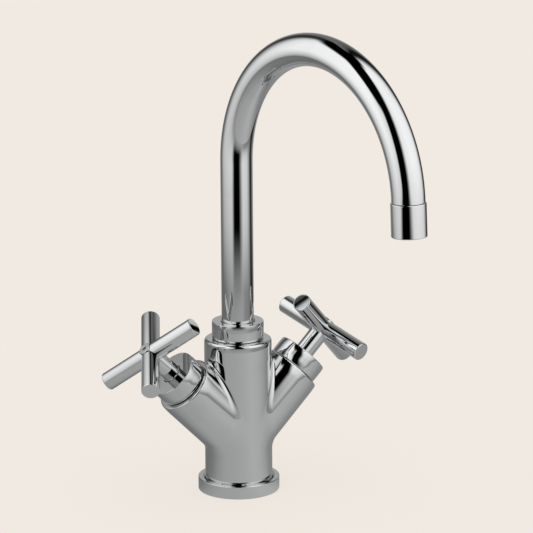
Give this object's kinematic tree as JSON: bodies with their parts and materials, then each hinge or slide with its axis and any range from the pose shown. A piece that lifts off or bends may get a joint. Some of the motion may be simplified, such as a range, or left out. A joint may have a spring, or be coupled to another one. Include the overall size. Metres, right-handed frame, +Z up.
{
  "type": "basin mixer faucet",
  "caption": "Deck-mounted basin mixer: round Y-shaped body, cross handles on angled ceramic valves, tall swan-neck swivel spout with aerator.",
  "frame": {"origin": "on the deck plane, on the axis of the column, at the middle of the underside", "axes": "+Z up along the column; the hot handle's arm leans towards -X and the cold handle's towards +X; the spout reaches towards -Y, turned about 10 degrees towards +X at rest"},
  "size_m": [0.1893, 0.2239, 0.3293],
  "materials": {
    "chrome": "polished chrome plate",
    "chrome_casting": "brass casting with polished chrome plate",
    "brass": "machined",
    "steel": "satin stainless",
    "rubber": "moulded EPDM",
    "ceramic": "lapped ceramic",
    "plastic": "moulded acetal",
    "fibre": "vulcanised fibre",
    "hot_mark": "dark red enamel",
    "cold_mark": "dark blue enamel"
  },
  "bodies": {
    "mixer_body": {"body_casting": "chrome_casting", "base_ring": "chrome", "base_seal": "rubber", "spout_collar": "chrome", "spout_thrust_washer": "plastic", "hot_bonnet_ring": "chrome", "hot_headwork_body": "brass", "hot_headwork_gasket": "fibre", "hot_seat_seal": "rubber", "hot_fixed_disc": "ceramic", "cold_bonnet_ring": "chrome", "cold_headwork_body": "brass", "cold_headwork_gasket": "fibre", "cold_seat_seal": "rubber", "cold_fixed_disc": "ceramic"},
    "spout": {"spout_tube": "chrome", "spout_nipple": "brass", "spout_lower_seal": "rubber", "spout_upper_seal": "rubber", "spout_slip_ring": "plastic", "aerator_housing": "chrome", "aerator_washer": "rubber", "aerator_insert": "plastic", "aerator_screen": "steel"},
    "hot_handle": {"hot_cross_handle": "chrome", "hot_index_cap": "chrome", "hot_index_dot": "hot_mark", "hot_handle_screw": "steel", "hot_spindle": "brass", "hot_turning_disc": "ceramic", "hot_spindle_seal": "rubber", "hot_spindle_clip": "steel"},
    "cold_handle": {"cold_cross_handle": "chrome", "cold_index_cap": "chrome", "cold_index_dot": "cold_mark", "cold_handle_screw": "steel", "cold_spindle": "brass", "cold_turning_disc": "ceramic", "cold_spindle_seal": "rubber", "cold_spindle_clip": "steel"}
  },
  "joints": [
    {"name": "spout_swivel", "type": "hinge", "parent": "mixer_body", "child": "spout", "pos_m": [0, 0, 0.111], "axis": [0, 0, 1], "continuous": true},
    {"name": "hot_handle_turn", "type": "hinge", "parent": "mixer_body", "child": "hot_handle", "pos_m": [0, 0, 0.038], "axis": [-0.7071, 0, 0.7071], "range_deg": [0, 90]},
    {"name": "cold_handle_turn", "type": "hinge", "parent": "mixer_body", "child": "cold_handle", "pos_m": [0, 0, 0.038], "axis": [0.7071, 0, 0.7071], "range_deg": [-90, 0]}
  ]
}
